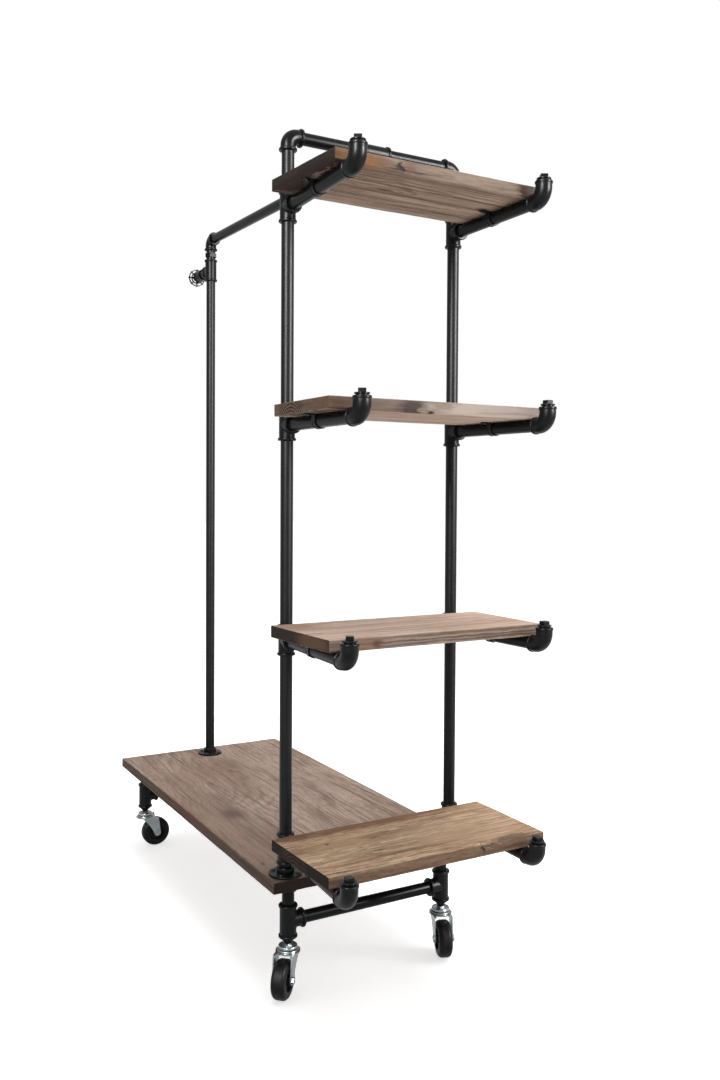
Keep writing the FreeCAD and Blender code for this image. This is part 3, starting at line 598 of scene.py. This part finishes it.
wood_looks = {
    "deck": {
        "early": linear(172, 152, 138), "late": linear(112, 93, 82),
        "band": linear(146, 126, 113), "red": linear(124, 101, 89),
        "dark": linear(62, 48, 42), "end": linear(84, 66, 57),
        "knot": linear(98, 78, 72), "pale": linear(196, 178, 162),
        "ring": 0.0085, "wander": 0.03, "ripple": 0.3, "swirl": 0.10,
        "pith_across": -0.05, "pith_up": -0.10, "taper": 0.10,
        "contrast": 0.55, "banding": 0.5, "patching": 0.85, "fleck": 0.35,
        "streak": 0.55, "splits": 0.65, "side": 0.5},
    "golden": {
        "early": linear(222, 193, 161), "late": linear(152, 120, 91),
        "band": linear(168, 134, 105), "red": linear(152, 115, 88),
        "dark": linear(62, 44, 35), "end": linear(24, 17, 14),
        "knot": linear(74, 53, 57), "pale": linear(240, 214, 180),
        "ring": 0.0075, "wander": 0.03, "ripple": 0.9, "swirl": 0.03,
        "pith_across": 0.02, "pith_up": -0.06, "taper": 0.03,
        "contrast": 0.85, "banding": 0.9, "patching": 0.75, "fleck": 0.7,
        "streak": 0.6, "splits": 0.75, "side": 0.5},
    "pink": {
        "early": linear(228, 202, 184), "late": linear(168, 138, 118),
        "band": linear(190, 161, 142), "red": linear(178, 144, 125),
        "dark": linear(72, 54, 45), "end": linear(84, 67, 57),
        "knot": linear(98, 70, 52), "pale": linear(238, 217, 199),
        "ring": 0.007, "wander": 0.025, "ripple": 0.7, "swirl": 0.02,
        "pith_across": -0.04, "pith_up": -0.05, "taper": -0.02,
        "contrast": 0.65, "banding": 0.75, "patching": 0.5, "fleck": 0.25,
        "streak": 0.45, "splits": 0.5, "side": 0.4},
    "grey": {
        "early": linear(188, 164, 145), "late": linear(108, 86, 71),
        "band": linear(124, 101, 85), "red": linear(134, 102, 82),
        "dark": linear(56, 42, 36), "end": linear(54, 43, 38),
        "knot": linear(58, 44, 39), "pale": linear(206, 184, 164),
        "ring": 0.0065, "wander": 0.03, "ripple": 0.7, "swirl": 0.03,
        "pith_across": -0.03, "pith_up": 0.06, "taper": -0.035,
        "contrast": 0.75, "banding": 0.9, "patching": 0.55, "fleck": 0.3,
        "streak": 0.55, "splits": 0.8, "side": 0.1},
}


def dressed_board(node, grain, look, step, shape=None, marks=None, **changes):
    """One plank with its own wood."""
    low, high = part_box(node)
    settings = {**wood_looks[look], **changes}
    material = wood(node + "_wood", grain, low, high, settings, **(marks or {}))
    worn_board(node, grain, material, step, **(shape or {}))


# Marks, placed in millimetres with their height counted from the plank's top:
# knots have a place, reach, spread of the bent rings and bulge of the rings in metres,
# stains and end_stains a place, reach, colour and strength, the stains also holding painted shadow
# under two shelves, cracks a place across, height and half width in metres and a strength,
# and chips a place, reach and depth. A left_skew moves the left end's front and back corner.

deck_step = (0.012, 0.016, 0.006)
shelf_step = (0.010, 0.008, 0.005)
deck_marks = {
    "knots": (((-160, 24, 0), (20, 34, 14), 2.2, -0.034),
              ((-18, 382, 0), (9, 18, 10), 2.6, -0.01),
              ((-114, 288, 0), (8, 15, 10), 2.6, -0.007),
              ((-232, -317, 0), (6, 11, 10), 2.2, -0.01)),
    "stains_and_shade": (((-230, -100, 1), (120, 420, 12), linear(116, 96, 84), 0.6),
               ((-60, 400, 1), (120, 170, 12), linear(126, 104, 92), 0.5),
               ((-160, 24, 1), (30, 50, 10), linear(104, 85, 79), 0.75),
               ((-259, 120, -12), (6, 900, 40), linear(78, 62, 54), 0.75),
               ((-259, 60, -12), (6, 160, 30), linear(96, 68, 61), 0.6)),
    "cracks": ((-0.113, 0.0004, 0.0013, 0.7), (-0.02, 0.0004, 0.0011, 0.4),
               (0.11, 0.0004, 0.0012, 0.5)),
    "end_stains": (((0, -433, -12), (500, 20, 50), linear(40, 31, 27), 0.95),)}
dressed_board("base_board", "Y", "deck", deck_step, marks=deck_marks)

bottom_shape = {
    "chips": (((92, -673, 0), (12, 10, 8), 3.5), ((118, -673, 0), (16, 20, 14), 5.0),
              ((148, -673, 0), (12, 12, 8), 3.5), ((192, -668, 0), (46, 13, 7), 2.2)),
    "fine": {0: [0.08 + 0.004 * i for i in range(41)], 1: [-0.670 + 0.003 * i for i in range(10)]},
    "left_skew": (8.0, 0.0)}
bottom_marks = {
    "knots": (((-179, -516, 0), (8, 5, 8), 5.0, -0.026),),
    "stains_and_shade": (((-150, -525, 0), (70, 35, 10), linear(196, 164, 124), 0.5),
               ((-60, -440, 0), (260, 24, 10), linear(122, 88, 66), 0.85),
               ((-225, -450, 0), (46, 22, 10), linear(104, 74, 58), 0.75),
               ((-100, -629, 0), (170, 3, 6), linear(110, 82, 64), 0.7),
               ((60, -675, -14), (320, 4, 18), linear(116, 87, 68), 0.65),
               ((130, -570, 0), (150, 80, 10), linear(214, 185, 154), 0.4),
               ((190, -664, 1), (45, 14, 8), linear(112, 90, 76), 0.9),
               ((106, -674, -8), (4, 5, 9), linear(48, 34, 28), 0.9))}
dressed_board("bottom_shelf_board", "X", "golden", shelf_step, bottom_shape, bottom_marks)

lower_marks = {
    "knots": (((-151, -673, -15), (16, 6, 10), 2.0, -0.012),),
    "stains_and_shade": (((-240, -470, 0), (60, 40, 10), linear(146, 110, 94), 0.7),
               ((-190, -674, -14), (50, 5, 18), linear(150, 112, 86), 0.6),
               ((40, -674, -5), (230, 5, 3), linear(112, 88, 72), 0.75),
               ((60, -674, -13), (260, 5, 2), linear(96, 74, 60), 0.8),
               ((120, -674, -19), (200, 5, 2), linear(104, 80, 64), 0.75),
               ((-244, -583, 0), (22, 5, 6), linear(96, 74, 64), 0.8)),
    "end_stains": (((-257, -490, -12), (20, 80, 40), linear(46, 38, 34), 0.9),
                   ((-257, -610, -12), (20, 60, 16), linear(112, 85, 68), 0.75))}
dressed_board("lower_shelf_board", "X", "pink", shelf_step, {"left_skew": (10.0, 0.0)},
              lower_marks, end=linear(60, 47, 41))

upper_marks = {
    "stains_and_shade": (((120, -674, -13), (170, 6, 18), linear(216, 197, 184), 0.8),
               ((-225, -674, -13), (40, 6, 20), linear(122, 92, 75), 0.85),
               ((-150, -674, -11), (40, 6, 14), linear(138, 116, 102), 0.7),
               ((-75, -674, -18), (34, 6, 20), linear(70, 55, 47), 0.88),
               ((0, -674, -9), (20, 6, 8), linear(150, 128, 112), 0.6),
               ((-50, -674, -19), (10, 5, 6), linear(196, 170, 146), 0.6),
               ((-36, -674, -24), (9, 5, 4), linear(44, 30, 27), 0.95),
               # painted shadow: the underside beyond the left arm, darkened as if in shade
               ((-246, -560, -27), (40, 170, 3), linear(52, 42, 36), 0.9)),
    "end_stains": (((-257, -650, -12), (20, 40, 30), linear(124, 94, 74), 0.7),)}
dressed_board("upper_shelf_board", "X", "pink", shelf_step, None, upper_marks,
              pith_across=0.046, pith_up=-0.046, taper=0.0,
              end=linear(130, 107, 91), dark=linear(44, 33, 28), early=linear(208, 184, 167),
              late=linear(150, 122, 104), band=linear(171, 145, 127), red=linear(162, 130, 112),
              pale=linear(218, 198, 180))

top_marks = {
    "knots": (((-109, -673, -14), (7, 6, 10), 2.4, -0.01),
              ((-78, -562, -26), (24, 6, 8), 2.4, -0.016)),
    "stains_and_shade": (((-195, -674, -12), (55, 6, 20), linear(166, 116, 78), 0.8),
               ((90, -675, -11), (150, 4, 20), linear(176, 153, 135), 0.75),
               ((-85, -674, -10), (14, 6, 14), linear(140, 96, 82), 0.6),
               ((-105, -674, -14), (4, 5, 9), linear(46, 36, 34), 0.95),
               ((205, -674, -12), (24, 8, 20), linear(78, 60, 50), 0.85),
               ((179, -553, -26), (14, 8, 6), linear(60, 46, 40), 0.8),
               # painted shadow: the underside beyond the left arm, darkened as if in shade
               ((-256, -570, -27), (60, 260, 5), linear(50, 39, 34), 0.97),
               ((-236, -590, -25), (5, 60, 4), linear(158, 140, 126), 0.5)),
    "cracks": ((-0.655, -0.0257, 0.0016, 0.7), (-0.595, -0.0257, 0.0018, 0.8),
               (-0.546, -0.0257, 0.0016, 0.7), (-0.480, -0.0257, 0.0016, 0.7)),
    "end_stains": (((-250, -553, -22), (30, 300, 8), linear(40, 31, 28), 0.8),)}
dressed_board("top_shelf_board", "X", "grey", shelf_step, {"left_skew": (6.0, -12.0)},
              top_marks, end=linear(66, 54, 48))


# Finishes of the solids that stay: black paint, zinc plate, rubber and plastic

def black_paint(name, colour, gloss, roughness, grain_scale, grain_depth, wear):
    """Black paint over metal: slight mottling, a fine skin and rubbed places."""
    rubbed = linear(104, 106, 110)
    roughness_swing = 0.16
    shader = Shader(name)
    point = shader.coordinates()
    mottle = shader.noise(point, 55.0, 3.0, 0.6)
    skin = shader.noise(point, grain_scale, 3.0, 0.6)
    rub = shader.ramp(shader.noise(point, 140.0, 5.0, 0.7), (0.6, 0.0), (0.8, 1.0))
    lighter = tuple(min(1.0, value * 1.8 + 0.003) for value in colour[:3]) + (1.0,)
    shade = shader.mix(shader.ramp(mottle, (0.35, 0.0), (0.75, 0.5)), colour, lighter)
    shade = shader.mix(shader.math("MULTIPLY", rub, wear), shade, rubbed)
    varied = shader.varied(mottle, roughness_swing, roughness - roughness_swing / 2)
    shader.set(Base_Color=shade, Specular_IOR_Level=gloss, Roughness=varied)
    shader.bump(skin, grain_depth, 0.5)
    return shader.material


def zinc_plate():
    """Zinc on pressed steel: faint spangle, dull clouds and drawn streaks."""
    bright, dull = linear(134, 140, 142), linear(88, 94, 96)
    shader = Shader("zinc_plate")
    point = shader.coordinates()
    spangle = shader.node("ShaderNodeTexVoronoi", {"Vector": point, "Scale": 260.0})
    cloud = shader.noise(point, 60.0, 4.0, 0.6)
    drawn = shader.noise(shader.scaled(shader.parts(point), 900.0, 900.0, 40.0), 1.0, 3.0, 0.6)
    colour = shader.mix(0.1, bright, spangle.outputs["Color"], "OVERLAY")
    colour = shader.mix(shader.ramp(cloud, (0.4, 0.0), (0.8, 0.6)), colour, dull)
    shader.set(Base_Color=colour, Metallic=1.0, Roughness=shader.varied(cloud, 0.25, 0.2))
    shader.bump(drawn, 0.00006, 0.4)
    return shader.material


def rubber(name, colour, dust):
    """Black rubber or moulded plastic with a dusty bloom."""
    dusty = linear(112, 108, 104)
    shader = Shader(name)
    point = shader.coordinates()
    bloom = shader.noise(point, 70.0, 5.0, 0.65)
    grain = shader.noise(point, 1500.0, 2.0, 0.5)
    shade = shader.mix(shader.ramp(bloom, (0.45, 0.0), (0.8, dust)), colour, dusty)
    shader.set(Base_Color=shade, Specular_IOR_Level=0.085,
               Roughness=shader.varied(bloom, 0.25, 0.36))
    shader.bump(grain, 0.0001, 0.4)
    return shader.material


finishes = {
    "black_pipe": black_paint("satin_black_pipe", linear(17, 18, 19), gloss=0.055, roughness=0.32,
                              grain_scale=500.0, grain_depth=0.000006, wear=0.03),
    # lit copy of the same black pipe paint for the uprights: glossier, with a darker base, so that
    # they show brighter streaks than the level pipes
    "black_pipe_lit_copy": black_paint("satin_black_pipe_lit_copy", linear(11, 12, 13), gloss=0.11, roughness=0.42,
                              grain_scale=500.0, grain_depth=0.000006, wear=0.03),
    "black_fitting": black_paint("black_cast_iron", linear(14, 15, 16), gloss=0.085,
                                 roughness=0.36, grain_scale=420.0, grain_depth=0.00004, wear=0.05),
    "black_valve": black_paint("black_valve_paint", linear(13, 14, 15), gloss=0.045,
                               roughness=0.34, grain_scale=520.0, grain_depth=0.0001, wear=0.05),
    "black_screw": black_paint("black_oxide", linear(24, 24, 26), gloss=0.3, roughness=0.3,
                               grain_scale=600.0, grain_depth=0.0001, wear=0.1),
    "zinc": zinc_plate(),
    "tyre": rubber("tyre_rubber", linear(13, 13, 14), dust=0.12),
    "wheel_core": rubber("core_plastic", linear(26, 26, 27), dust=0.15),
}
uprights = ("left_post_pipes", "right_post_pipes", "far_post")


def dress_solids():
    """Each solid that stays takes its slot's finish; the uprights take a lit copy of the pipe
    paint, glossier and darker, so that they catch brighter streaks.
    """
    for part in frame["record"]["subparts"]:
        finish = "black_pipe_lit_copy" if part["node"] in uprights else part["material_slot"]
        if finish in finishes:
            mesh = nodes[part["node"]].data
            mesh.materials.clear()
            mesh.materials.append(finishes[finish])


dress_solids()
